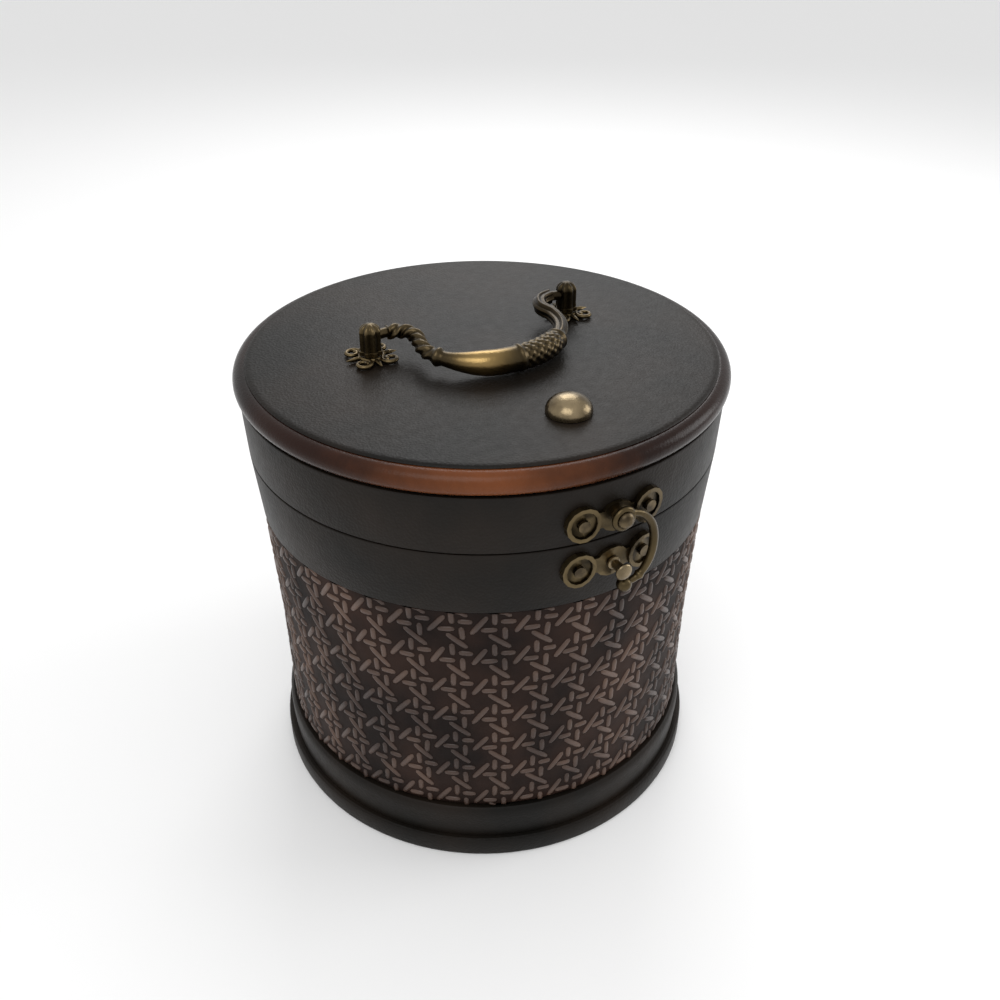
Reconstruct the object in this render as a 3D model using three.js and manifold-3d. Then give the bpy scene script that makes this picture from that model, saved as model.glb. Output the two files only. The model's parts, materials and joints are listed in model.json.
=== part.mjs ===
// Round covered box with a cane-weave wrap, a rear-hinged lid, a bail handle and a swing-hook latch.
// Millimetres, +Z up. The origin is the centre of the underside, the latch faces -Y, the hinge is at +Y.
import * as THREE from "three";
import { mergeVertices } from "three/addons/utils/BufferGeometryUtils.js";
import Module from "manifold-3d";

const wasm = await Module();
wasm.setup();

// Driving dimensions
const LID_RADIUS = 100;
const SEAM_Z = 161.6;
const WEAVE_TOP_Z = 133.6;
const FOOT_TOP_Z = 26.2;
const PLINTH_TOP_Z = 9.3;
const LID_BOARD_BOTTOM_Z = 185.8;
const LID_BOARD_TOP_Z = 194.8;
const COVER_THICKNESS = 0.8;
const GAP = 0.3;
const SKIN = 2;
const CORE = 4;
const LINING = 1.2;
const PLINTH_RADIUS = 98;
const LID_COVER_RADIUS = 93.5;
const POST_X = 45;
const POST_Y = 8.5;
const POST_HEIGHT = 15;
const PIVOT_HEIGHT = 9.5;
const BAIL_DROP = 37;
const STUD_Y = -65.7;
const STUD_RADIUS = 8.7;
const STUD_HEIGHT = 6.6;
const LATCH_Z = 172;
const KEEPER_Z = 150.5;
const LOBE_X = 13.6;
const HOOK_STANDOFF = 5.2;
const HINGE_Y = 102;
const HINGE_WIDTH = 36;
const KNUCKLE_RADIUS = 2.8;
const PIN_RADIUS = 1.2;
const AROUND = 48;
const OPENING_SLACK = 0.35;

// Outside radius of the covered wall at heights from the foot to the underside of the lid board
const WALL = [
  [FOOT_TOP_Z, 93.2],
  [80, 93.4],
  [WEAVE_TOP_Z, 95.4],
  [SEAM_Z, 97.6],
  [LID_BOARD_BOTTOM_Z, 98.4],
];

function wallRadius(z) {
  for (let i = 1; i < WALL.length; i++) {
    const [z0, r0] = WALL[i - 1];
    const [z1, r1] = WALL[i];
    if (z <= z1) return z <= z0 ? r0 : r0 + ((r1 - r0) * (z - z0)) / (z1 - z0);
  }
  return WALL[WALL.length - 1][1];
}

// Closed geometry to a solid for booleans, and back
function solid(geometry) {
  const bare = geometry.index ? geometry.toNonIndexed() : geometry.clone();
  const only = new THREE.BufferGeometry();
  only.setAttribute("position", bare.getAttribute("position"));
  const merged = mergeVertices(only, 1e-4);
  return new wasm.Manifold(
    new wasm.Mesh({
      numProp: 3,
      vertProperties: merged.attributes.position.array,
      triVerts: new Uint32Array(merged.index.array),
    }),
  );
}

function geometryOf(body) {
  const mesh = body.getMesh();
  const geometry = new THREE.BufferGeometry();
  geometry.setAttribute("position", new THREE.BufferAttribute(new Float32Array(mesh.vertProperties), 3));
  geometry.setIndex(new THREE.BufferAttribute(new Uint32Array(mesh.triVerts), 1));
  geometry.computeVertexNormals();
  return geometry;
}

const join = (...parts) => parts.reduce((a, b) => a.add(b));
const cut = (body, ...tools) => tools.reduce((a, b) => a.subtract(b), body);

// Ring from a closed profile of [radius, z] points, listed up the outside and down the inside
function ring(profile, segments = AROUND) {
  const points = [...profile, profile[0]].map(([r, z]) => new THREE.Vector2(r, z));
  return solid(new THREE.LatheGeometry(points, segments).rotateX(Math.PI / 2));
}

// Turned solid from a profile that starts and ends on the axis, from the bottom up
function turned(profile, segments = AROUND) {
  const points = profile.map(([r, z]) => new THREE.Vector2(r, z));
  return solid(new THREE.LatheGeometry(points, segments).rotateX(Math.PI / 2));
}

// Band that follows the wall between two heights, from one depth to another below its face
function wallBand(z0, z1, outer, inner, segments = AROUND) {
  const heights = [z0, ...WALL.map(([z]) => z).filter((z) => z > z0 + 1 && z < z1 - 1), z1];
  const up = heights.map((z) => [wallRadius(z) + outer, z]);
  const down = [...heights].reverse().map((z) => [wallRadius(z) + inner, z]);
  return ring([...up, ...down], segments);
}

// Round bar from one point to another
function bar(from, to, radius, segments = 20) {
  const a = new THREE.Vector3(...from);
  const b = new THREE.Vector3(...to);
  const along = b.clone().sub(a);
  const geometry = new THREE.CylinderGeometry(radius, radius, along.length(), segments);
  const turn = new THREE.Quaternion().setFromUnitVectors(
    new THREE.Vector3(0, 1, 0),
    along.clone().normalize(),
  );
  geometry.applyQuaternion(turn);
  geometry.translate(...a.add(b).multiplyScalar(0.5).toArray());
  return solid(geometry);
}

// Closed tube along a curve: radiusAt(t, angle) gives the section, so it can swell, flute or twist
function sweep(curve, radiusAt, steps, sides) {
  const frames = curve.computeFrenetFrames(steps, false);
  const vertices = [];
  const faces = [];
  for (let i = 0; i <= steps; i++) {
    const t = i / steps;
    const centre = curve.getPointAt(t);
    for (let j = 0; j < sides; j++) {
      const angle = (2 * Math.PI * j) / sides;
      const r = radiusAt(t, angle);
      const spoke = frames.normals[i]
        .clone()
        .multiplyScalar(r * Math.cos(angle))
        .addScaledVector(frames.binormals[i], r * Math.sin(angle));
      vertices.push(...centre.clone().add(spoke).toArray());
    }
  }
  for (let i = 0; i < steps; i++) {
    for (let j = 0; j < sides; j++) {
      const a = i * sides + j;
      const b = i * sides + ((j + 1) % sides);
      faces.push(a, b, a + sides, b, b + sides, a + sides);
    }
  }
  const first = vertices.length / 3;
  vertices.push(...curve.getPointAt(0).toArray(), ...curve.getPointAt(1).toArray());
  for (let j = 0; j < sides; j++) {
    const k = (j + 1) % sides;
    faces.push(first, k, j);
    faces.push(first + 1, steps * sides + j, steps * sides + k);
  }
  const geometry = new THREE.BufferGeometry();
  geometry.setAttribute("position", new THREE.BufferAttribute(new Float32Array(vertices), 3));
  geometry.setIndex(faces);
  return solid(geometry);
}

// Plate cut from a band of the wall by an outline drawn in x and z, seen from the front or the back
function wallPlate(outline, z0, z1, inner, outer, side) {
  const block = new THREE.ExtrudeGeometry(outline, { depth: 40, bevelEnabled: false, curveSegments: 7 });
  block.rotateX(Math.PI / 2);
  block.translate(0, side > 0 ? 120 : -80, 0);
  return solid(block).intersect(wallBand(z0, z1, outer, inner));
}

function oval(cx, cz, rx, rz) {
  const shape = new THREE.Shape();
  shape.absellipse(cx, cz, rx, rz, 0, 2 * Math.PI, false, 0);
  return shape;
}

function oblong(x0, x1, z0, z1) {
  const shape = new THREE.Shape();
  shape.moveTo(x0, z0);
  shape.lineTo(x1, z0);
  shape.lineTo(x1, z1);
  shape.lineTo(x0, z1);
  shape.closePath();
  return shape;
}

// Point on the wall, by the distance round it from the front or the back
function onWall(x, z, depth, side) {
  const r = wallRadius(z) + depth;
  const angle = x / wallRadius(z);
  return [r * Math.sin(angle), side * r * Math.cos(angle), z];
}

// Domed screw that stands on the wall with its shank in the skin and core
const SCREW_HEAD = 2.3;
const SCREW_SHANK = 1.1;
const SCREW_LENGTH = 4.5;

function wallScrew(x, z, seat, side) {
  const low = onWall(x, z, seat, side);
  const top = onWall(x, z, seat + 1.1, side);
  const tip = onWall(x, z, seat - SCREW_LENGTH, side);
  return join(bar(low, top, SCREW_HEAD, 12), bar(tip, top, SCREW_SHANK, 8));
}

function pilot(x, z, seat, side) {
  const tip = onWall(x, z, seat - SCREW_LENGTH - GAP, side);
  const mouth = onWall(x, z, seat - GAP, side);
  return bar(tip, mouth, SCREW_SHANK + GAP, 8);
}

// Finishes
const paint = {
  leather: { color: 0x4a4742, roughness: 0.55, metalness: 0 },
  weave: { color: 0x6b5b50, roughness: 0.5, metalness: 0 },
  board: { color: 0x8a6f4e, roughness: 0.8, metalness: 0 },
  cloth: { color: 0x3a2420, roughness: 0.95, metalness: 0 },
  bronze: { color: 0x7a6a48, roughness: 0.4, metalness: 1 },
  brass: { color: 0xb08d4f, roughness: 0.35, metalness: 1 },
};

const box = new THREE.Group();
box.name = "round_box";

function place(name, body, finish) {
  const mesh = new THREE.Mesh(geometryOf(body), new THREE.MeshStandardMaterial(paint[finish]));
  mesh.name = name;
  box.add(mesh);
}

// Screw places: distance round the wall, height, height of the seat above the wall face, side
const PLATE_SEAT = 2.0;
const LATCH_SCREWS = [-1, 1].map((s) => [s * LOBE_X, LATCH_Z - 1, PLATE_SEAT, -1]);
const KEEPER_SCREWS = [-1, 1].map((s) => [s * LOBE_X, KEEPER_Z, PLATE_SEAT, -1]);
const UPPER_HINGE_SCREWS = [-1, 1].map((s) => [s * 11, 172.5, PLATE_SEAT, 1]);
const LOWER_HINGE_SCREWS = [-1, 1].map((s) => [s * 11, 151, PLATE_SEAT, 1]);
const SCREW_PLACES = [...LATCH_SCREWS, ...KEEPER_SCREWS, ...UPPER_HINGE_SCREWS, ...LOWER_HINGE_SCREWS];

// Blind hole for the rivet or stud at the middle of each front plate
const RIVET_RADIUS = 1.6;
function frontBore(z) {
  return bar([0, -(wallRadius(z) + 6), z], [0, -(wallRadius(z) - 5.3), z], RIVET_RADIUS + GAP, 16);
}

// Carcass: board floor, plinth edge, cylindrical core, skins and lining
function buildCarcass() {
  const edge = 1.5;
  place(
    "base_board",
    turned([
      [0, 0],
      [PLINTH_RADIUS - edge, 0],
      [PLINTH_RADIUS, edge],
      [PLINTH_RADIUS, PLINTH_TOP_Z - edge],
      [PLINTH_RADIUS - edge, PLINTH_TOP_Z],
      [0, PLINTH_TOP_Z],
    ]),
    "leather",
  );
  place(
    "foot_band",
    ring([
      [95.2, PLINTH_TOP_Z + GAP],
      [95.6, 21.5],
      [95.4, 24.6],
      [94.4, FOOT_TOP_Z - 0.3],
      [93.2, FOOT_TOP_Z],
      [91.3, FOOT_TOP_Z - 0.4],
      [91.3, PLINTH_TOP_Z + GAP],
    ]),
    "leather",
  );
  const shellTop = SEAM_Z - GAP;
  const pilots = SCREW_PLACES.map((p) => pilot(...p));
  const shell = ring([
    [91, PLINTH_TOP_Z + GAP],
    [wallRadius(80) - SKIN - GAP, 80],
    [wallRadius(WEAVE_TOP_Z) - SKIN - GAP, WEAVE_TOP_Z],
    [wallRadius(SEAM_Z) - SKIN - GAP, shellTop],
    [wallRadius(SEAM_Z) - SKIN - GAP - CORE, shellTop],
    [wallRadius(WEAVE_TOP_Z) - SKIN - GAP - CORE, WEAVE_TOP_Z],
    [wallRadius(80) - SKIN - GAP - CORE, 80],
    [91 - CORE, PLINTH_TOP_Z + GAP],
  ]);
  place("body_shell", cut(shell, ...pilots, frontBore(KEEPER_Z)), "board");
  place("woven_wrap", wallBand(FOOT_TOP_Z + GAP, WEAVE_TOP_Z - GAP, 0, -SKIN), "weave");
  place("upper_band", cut(wallBand(WEAVE_TOP_Z, shellTop, 0, -SKIN), ...pilots, frontBore(KEEPER_Z)), "leather");
  const inset = SKIN + CORE + 2 * GAP;
  place(
    "side_lining",
    ring([
      [91 - CORE - GAP, PLINTH_TOP_Z + 3.6],
      [wallRadius(80) - inset, 80],
      [wallRadius(WEAVE_TOP_Z) - inset, WEAVE_TOP_Z],
      [wallRadius(SEAM_Z) - inset, shellTop - 1],
      [wallRadius(SEAM_Z) - inset - LINING, shellTop - 1],
      [wallRadius(WEAVE_TOP_Z) - inset - LINING, WEAVE_TOP_Z],
      [wallRadius(80) - inset - LINING, 80],
      [91 - CORE - GAP - LINING, PLINTH_TOP_Z + 3.6],
    ]),
    "cloth",
  );
  place(
    "floor_pad",
    turned([
      [0, PLINTH_TOP_Z + GAP],
      [86.2, PLINTH_TOP_Z + GAP],
      [86.2, PLINTH_TOP_Z + 2.6],
      [85.4, PLINTH_TOP_Z + 3.3],
      [0, PLINTH_TOP_Z + 3.3],
    ]),
    "cloth",
  );
}

// Lid: round board with a half-round edge, panel, skirt, lining and ceiling pad
function buildLid() {
  const middle = (LID_BOARD_BOTTOM_Z + LID_BOARD_TOP_Z) / 2;
  const half = (LID_BOARD_TOP_Z - LID_BOARD_BOTTOM_Z) / 2;
  const edge = [];
  for (let i = 0; i <= 8; i++) {
    const a = -Math.PI / 2 + (Math.PI * i) / 8;
    edge.push([LID_RADIUS - half + half * Math.cos(a), middle + half * Math.sin(a)]);
  }
  const bolts = [-1, 1].map((s) =>
    bar([s * POST_X, POST_Y, LID_BOARD_BOTTOM_Z - 1], [s * POST_X, POST_Y, LID_BOARD_TOP_Z + 3], 2.3, 16),
  );
  const studHole = bar([0, STUD_Y, LID_BOARD_BOTTOM_Z + 2], [0, STUD_Y, LID_BOARD_TOP_Z + 3], 1.8, 16);
  place(
    "lid_board",
    cut(turned([[0, LID_BOARD_BOTTOM_Z], ...edge, [0, LID_BOARD_TOP_Z]]), ...bolts, studHole),
    "leather",
  );
  const coverLow = LID_BOARD_TOP_Z + GAP;
  place(
    "lid_panel",
    cut(
      turned([
        [0, coverLow],
        [LID_COVER_RADIUS, coverLow],
        [LID_COVER_RADIUS - 0.5, coverLow + COVER_THICKNESS],
        [0, coverLow + COVER_THICKNESS],
      ]),
      ...bolts,
      studHole,
    ),
    "leather",
  );
  const pilots = SCREW_PLACES.map((p) => pilot(...p));
  const skirtTop = LID_BOARD_BOTTOM_Z - GAP;
  place(
    "lid_skirt",
    cut(wallBand(SEAM_Z + GAP, skirtTop, 0, -SKIN - CORE), ...pilots, frontBore(LATCH_Z)),
    "leather",
  );
  const inside = -SKIN - CORE - GAP;
  place("skirt_lining", wallBand(SEAM_Z + 1.3, skirtTop, inside, inside - LINING), "cloth");
  const padRadius = wallRadius(SEAM_Z) + inside - LINING - 2 * GAP;
  place(
    "ceiling_pad",
    cut(
      turned([
        [0, skirtTop - 3],
        [padRadius - 0.8, skirtTop - 3],
        [padRadius, skirtTop - 2.4],
        [padRadius, skirtTop],
        [0, skirtTop],
      ]),
      ...[-1, 1].map((s) => bar([s * POST_X, POST_Y, skirtTop - 4], [s * POST_X, POST_Y, skirtTop + 1], 4.8, 20)),
    ),
    "cloth",
  );
}

const LID_FACE_Z = LID_BOARD_TOP_Z + GAP + COVER_THICKNESS;

// Domed stud with a stem in the lid board
function buildStud() {
  const z = LID_FACE_Z + GAP;
  const dome = [];
  for (let i = 0; i <= 7; i++) {
    const a = (Math.PI / 2) * (i / 7);
    dome.push([STUD_RADIUS * Math.cos(a), z + 0.8 + (STUD_HEIGHT - 0.8) * Math.sin(a)]);
  }
  dome[dome.length - 1][0] = 0;
  const head = turned([[0, z], [STUD_RADIUS, z], ...dome], 36);
  const stud = join(head, bar([0, 0, z - 6], [0, 0, z + 1], 1.4, 16));
  place("top_stud", stud.translate([0, STUD_Y, 0]), "brass");
}

// Handle: scroll plates, fluted posts, bolts through the lid and the swinging bail
const POST_RADIUS = 4;
function scrollPlate(x) {
  const outline = new THREE.Shape();
  const count = 48;
  for (let i = 0; i <= count; i++) {
    const a = (2 * Math.PI * i) / count;
    const r = 10.6 + 1.5 * Math.cos(4 * a) + 0.9 * Math.cos(8 * a + 0.6);
    const p = [x + r * 1.02 * Math.cos(a), POST_Y + r * 1.12 * Math.sin(a)];
    if (i === 0) outline.moveTo(...p);
    else outline.lineTo(...p);
  }
  const plate = new THREE.ExtrudeGeometry(outline, {
    depth: 1,
    bevelThickness: 0.5,
    bevelSize: 0.5,
    bevelOffset: -0.5,
    bevelSegments: 1,
  });
  plate.translate(0, 0, LID_FACE_Z + GAP + 0.5);
  return cut(solid(plate), bar([x, POST_Y, LID_FACE_Z], [x, POST_Y, LID_FACE_Z + 4], 2.3, 16));
}

function flutedPost(x) {
  const foot = LID_FACE_Z + GAP + 2 + GAP;
  const top = LID_FACE_Z + POST_HEIGHT;
  const curve = new THREE.LineCurve3(new THREE.Vector3(x, POST_Y, foot), new THREE.Vector3(x, POST_Y, top));
  const post = sweep(
    curve,
    (t, angle) => {
      const dome = t < 0.75 ? 1 : Math.sqrt(Math.max(0.02, 1 - ((t - 0.75) / 0.255) ** 2));
      const collar = t < 0.12 ? 1.12 : 1;
      return POST_RADIUS * dome * collar * (1 + 0.09 * Math.cos(8 * angle));
    },
    12,
    24,
  );
  const side = Math.sign(x);
  const eye = bar(
    [x - side * 6, POST_Y, LID_FACE_Z + PIVOT_HEIGHT],
    [x + side * 1.6, POST_Y, LID_FACE_Z + PIVOT_HEIGHT],
    2 + OPENING_SLACK,
    18,
  );
  return cut(post, eye, bar([x, POST_Y, foot - 1], [x, POST_Y, foot + 3.6], 2.3, 16));
}

function handleBolt(x) {
  const seat = LID_BOARD_BOTTOM_Z - GAP;
  const shank = bar([x, POST_Y, seat - 1], [x, POST_Y, LID_FACE_Z + 5.4], 2, 16);
  return join(shank, bar([x, POST_Y, seat - 2.4], [x, POST_Y, seat], 4.4, 20));
}

// Bail centre line: x across the lid and drop towards the latch, from one post to the other
const BAIL_LINE = [
  [-43.6, 0],
  [-37, -0.6],
  [-31.5, 1.2],
  [-28.6, 6.5],
  [-29.6, 13],
  [-29.8, 19],
  [-24, 28.5],
  [-12.5, 35.6],
  [0, BAIL_DROP],
  [12.5, 35.2],
  [22.5, 29.8],
  [28.6, 22],
  [30.2, 13.5],
  [28.8, 6.2],
  [31.5, 1.2],
  [37, -0.6],
  [43.6, 0],
];
const BELLY_LIFT = 5.6;

function bailHandle() {
  const fall = (PIVOT_HEIGHT - BELLY_LIFT) / BAIL_DROP;
  const curve = new THREE.CatmullRomCurve3(
    BAIL_LINE.map(([x, drop]) => new THREE.Vector3(x, POST_Y - drop, LID_FACE_Z + PIVOT_HEIGHT - fall * drop)),
    false,
    "catmullrom",
    0.5,
  );
  const smooth = (a, b, t) => {
    const u = Math.min(1, Math.max(0, (t - a) / (b - a)));
    return u * u * (3 - 2 * u);
  };
  return sweep(
    curve,
    (t, angle) => {
      const end = Math.min(t, 1 - t);
      if (end < 0.045) return 2;
      const horn = 2.7 + 2.3 * smooth(0.26, 0.42, t) - 2.3 * smooth(0.62, 0.7, t);
      const collar = 1.1 * Math.exp(-(((t - 0.27) / 0.012) ** 2)) + 1.0 * Math.exp(-(((t - 0.665) / 0.012) ** 2));
      const rope = t < 0.25 ? 0.32 * Math.cos(3 * (angle + 60 * t)) : 0;
      const ribs = t > 0.69 ? 0.26 * Math.cos(6 * angle + 20 * t) : 0;
      return Math.max(2, horn + collar + rope + ribs);
    },
    54,
    12,
  );
}

function buildHandle() {
  for (const side of [-1, 1]) {
    const word = side < 0 ? "left" : "right";
    place("handle_plate_" + word, scrollPlate(side * POST_X), "bronze");
    place("handle_post_" + word, flutedPost(side * POST_X), "bronze");
    place("handle_bolt_" + word, handleBolt(side * POST_X), "brass");
  }
  place("bail_handle", bailHandle(), "bronze");
}

// Latch: plate with two rimmed lobes above the seam, keeper plate below, a swing hook and a stud
function lobedPlate(z, height, side, z0, z1) {
  const parts = [oval(-LOBE_X, z, 6.6, height), oval(LOBE_X, z, 6.6, height), oval(0, z, 7, height * 0.86)];
  const bridge = oblong(-LOBE_X, LOBE_X, z - 3.4, z + 3.4);
  const base = [...parts, bridge].map((s) => wallPlate(s, z0, z1, GAP, PLATE_SEAT - GAP, side));
  const rims = [-1, 1].map((s) => {
    const outer = wallPlate(oval(s * LOBE_X, z, 6.6, height), z0, z1, GAP, PLATE_SEAT + 0.6, side);
    const inner = wallPlate(oval(s * LOBE_X, z, 5, height - 1.6), z0, z1, -1, PLATE_SEAT + 2, side);
    return cut(outer, inner);
  });
  return join(...base, ...rims);
}

function buildLatch() {
  const plate = cut(
    lobedPlate(LATCH_Z - 1, 7.2, -1, SEAM_Z + 1, LID_BOARD_BOTTOM_Z - 1),
    frontBore(LATCH_Z),
    ...LATCH_SCREWS.map(([x, z, , side]) => bar(onWall(x, z, -1, side), onWall(x, z, 3.5, side), SCREW_SHANK + GAP, 8)),
  );
  place("latch_plate", plate, "bronze");
  const keeper = cut(
    lobedPlate(KEEPER_Z, 7.6, -1, WEAVE_TOP_Z + 2, SEAM_Z - 1),
    frontBore(KEEPER_Z),
    ...KEEPER_SCREWS.map(([x, z, , side]) => bar(onWall(x, z, -1, side), onWall(x, z, 3.5, side), SCREW_SHANK + GAP, 8)),
  );
  place("keeper_plate", keeper, "bronze");
  for (const [word, set] of [["latch", LATCH_SCREWS], ["keeper", KEEPER_SCREWS]]) {
    set.forEach((p, i) => place(word + "_screw_" + (i ? "right" : "left"), wallScrew(...p), "brass"));
  }
  const hookY = -(wallRadius(LATCH_Z) + HOOK_STANDOFF);
  const rivet = join(
    bar([0, -(wallRadius(LATCH_Z) - 4.5), LATCH_Z], [0, hookY - 2.4, LATCH_Z], RIVET_RADIUS, 16),
    bar([0, hookY - 3.9, LATCH_Z], [0, hookY - 2.1, LATCH_Z], 3.3, 20),
    bar([0, hookY + 1.9, LATCH_Z], [0, -(wallRadius(LATCH_Z) + PLATE_SEAT), LATCH_Z], 2.6, 20),
  );
  place("latch_rivet", rivet, "brass");
  const stud = join(
    bar([0, -(wallRadius(KEEPER_Z) - 4.5), KEEPER_Z], [0, hookY - 2.2, KEEPER_Z], RIVET_RADIUS, 16),
    bar([0, hookY - 3.6, KEEPER_Z], [0, hookY - 1.9, KEEPER_Z], 3.4, 20),
  );
  place("keeper_stud", stud, "brass");
  const line = [
    [2.6, 1.2],
    [8, -0.6],
    [12.4, -6],
    [14, -13.5],
    [12.8, -21.5],
    [8.6, -27.6],
    [3.4, -29],
  ].map(([x, z]) => new THREE.Vector3(x, hookY, LATCH_Z + z));
  const curve = new THREE.CatmullRomCurve3(line, false, "catmullrom", 0.5);
  const arm = sweep(curve, (t) => 1.75 + 0.35 * Math.sin(Math.PI * t), 20, 10);
  const eye = bar([0, hookY + 1.6, LATCH_Z], [0, hookY - 1.6, LATCH_Z], 4.9, 24);
  const knob = solid(new THREE.SphereGeometry(3.3, 12, 8)).translate([2.2, hookY, LATCH_Z - 29.6]);
  const hole = bar([0, hookY + 4, LATCH_Z], [0, hookY - 4, LATCH_Z], RIVET_RADIUS + OPENING_SLACK, 20);
  place("latch_hook", cut(join(arm, eye, knob), hole), "bronze");
}

// Rear hinge: two leaves bent to the wall, knuckles on one pin
function hingeLeaf(z0, z1, knuckles, edgeLow, edgeHigh) {
  const half = HINGE_WIDTH / 2;
  const leaf = wallPlate(oblong(-half, half, z0, z1), z0, z1, GAP, PLATE_SEAT - GAP, 1);
  const bore = bar([-half - 2, HINGE_Y, SEAM_Z], [half + 2, HINGE_Y, SEAM_Z], PIN_RADIUS + OPENING_SLACK, 16);
  const clear = ring([
    [wallRadius(z0) + GAP, z0 - 20],
    [wallRadius(z0) + GAP, z0],
    [wallRadius(z1) + GAP, z1],
    [wallRadius(z1) + GAP, z1 + 20],
    [40, z1 + 20],
    [40, z0 - 20],
  ]);
  const barrels = knuckles.map(([x0, x1]) => bar([x0, HINGE_Y, SEAM_Z], [x1, HINGE_Y, SEAM_Z], KNUCKLE_RADIUS, 24));
  const webs = knuckles.map(([x0, x1]) => {
    const web = new THREE.BoxGeometry(x1 - x0, HINGE_Y - 94, edgeHigh - edgeLow);
    web.translate((x0 + x1) / 2, (HINGE_Y + 94) / 2, (edgeHigh + edgeLow) / 2);
    return solid(web);
  });
  return cut(join(leaf, ...barrels, ...webs), clear, bore);
}

function buildHinge() {
  const half = HINGE_WIDTH / 2;
  const third = HINGE_WIDTH / 6;
  const shank = SCREW_SHANK + GAP;
  const holes = (set) => set.map(([x, z, , side]) => bar(onWall(x, z, -1, side), onWall(x, z, 3.5, side), shank, 12));
  const upper = hingeLeaf(SEAM_Z + 0.6, 181, [[-third, third]], SEAM_Z + 0.6, SEAM_Z + 2.4);
  place("hinge_leaf_upper", cut(upper, ...holes(UPPER_HINGE_SCREWS)), "bronze");
  const lower = hingeLeaf(142, SEAM_Z - 0.6, [[-half, -third - 0.4], [third + 0.4, half]], SEAM_Z - 2.4, SEAM_Z - 0.6);
  place("hinge_leaf_lower", cut(lower, ...holes(LOWER_HINGE_SCREWS)), "bronze");
  place(
    "hinge_pin",
    join(
      bar([-half - 0.4, HINGE_Y, SEAM_Z], [half + 0.4, HINGE_Y, SEAM_Z], PIN_RADIUS, 16),
      ...[-1, 1].map((s) => bar([s * (half + 0.4), HINGE_Y, SEAM_Z], [s * (half + 1.6), HINGE_Y, SEAM_Z], 2, 16)),
    ),
    "brass",
  );
  for (const [word, set] of [["upper", UPPER_HINGE_SCREWS], ["lower", LOWER_HINGE_SCREWS]]) {
    set.forEach((p, i) => place("hinge_screw_" + word + "_" + (i ? "right" : "left"), wallScrew(...p), "brass"));
  }
}

buildCarcass();
buildLid();
buildStud();
buildHandle();
buildLatch();
buildHinge();

export default box;
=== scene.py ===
"""Looks of a round covered box with a cane-weave wrap, a bail handle and a hook latch. Metres, +Z up."""

import json
import logging
import math
from dataclasses import dataclass, field
from enum import Enum
from typing import Callable, Sequence

import bmesh
import bpy
import numpy as np
from mathutils import Matrix, Vector


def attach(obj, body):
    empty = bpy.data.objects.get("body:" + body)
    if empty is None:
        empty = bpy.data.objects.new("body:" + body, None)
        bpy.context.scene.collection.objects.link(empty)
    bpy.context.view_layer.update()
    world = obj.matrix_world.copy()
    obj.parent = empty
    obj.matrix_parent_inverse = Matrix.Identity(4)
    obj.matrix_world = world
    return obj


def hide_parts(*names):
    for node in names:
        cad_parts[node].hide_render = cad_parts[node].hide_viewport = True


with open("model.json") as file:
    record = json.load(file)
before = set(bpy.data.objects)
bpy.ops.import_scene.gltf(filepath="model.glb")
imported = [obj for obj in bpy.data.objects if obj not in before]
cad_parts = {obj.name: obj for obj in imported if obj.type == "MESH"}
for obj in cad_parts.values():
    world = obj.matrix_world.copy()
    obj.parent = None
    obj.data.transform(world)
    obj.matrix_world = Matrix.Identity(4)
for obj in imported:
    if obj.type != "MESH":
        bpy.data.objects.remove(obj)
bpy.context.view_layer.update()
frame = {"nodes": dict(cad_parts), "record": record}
LOG = logging.getLogger("round_box")
MM = 0.001

# Sizes shared by the pieces, in millimetres
SEAM_Z = 161.6
WEAVE_TOP_Z = 133.6
FOOT_TOP_Z = 26.2
PLINTH_TOP_Z = 9.3
BOARD_LOW_Z = 185.8
BOARD_TOP_Z = 194.8
LID_FACE_Z = 195.9
GAP = 0.3
SKIN = 2.0
CORE = 4.0
LINING_THICKNESS = 1.2
LINING_DROP = 1.3
EDGE_ROUND = 0.5
PAD_THICKNESS = 3.0
PAD_ROLL = 2.2
PAD_AROUND = 240
PAD_RINGS = 80
PAD_EDGE_RINGS = 9
WELL_RADIUS = 4.9
WELL_SLOPE = 2.6
WELL_FLOOR = 0.15
CREASE_DEGREES = 38
WALL_HEIGHTS = (FOOT_TOP_Z, 80.0, WEAVE_TOP_Z, SEAM_Z, BOARD_LOW_Z)
WALL_RADII = (93.2, 93.4, 95.4, 97.6, 98.4)

Array = np.ndarray


def wall_radius(z: Array | float) -> Array:
    """Radius of the covered wall at a height, straight between the measured circles."""
    return np.interp(z, WALL_HEIGHTS, WALL_RADII)


class Body(Enum):
    """The rigid bodies that pieces ride on."""

    BOX = "box"
    LID = "lid"
    BAIL = "bail"
    HOOK = "hook"


def add_mesh(name: str, points: Array, faces: list, smooth: bool = True) -> bpy.types.Object:
    """Puts points and faces into a new mesh object at the origin.

    Args:
        name: the piece's name.
        points: (n, 3) places in millimetres.
        faces: lists of point numbers, counter-clockwise from outside.
        smooth: shade smoothly.

    Returns:
        The linked object.
    """
    mesh = bpy.data.meshes.new(name)
    mesh.from_pydata((points * MM).tolist(), [], faces)
    mesh.polygons.foreach_set("use_smooth", np.full(len(mesh.polygons), smooth))
    mesh.update()
    made = bpy.data.objects.new(name, mesh)
    bpy.context.scene.collection.objects.link(made)
    return made


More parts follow.
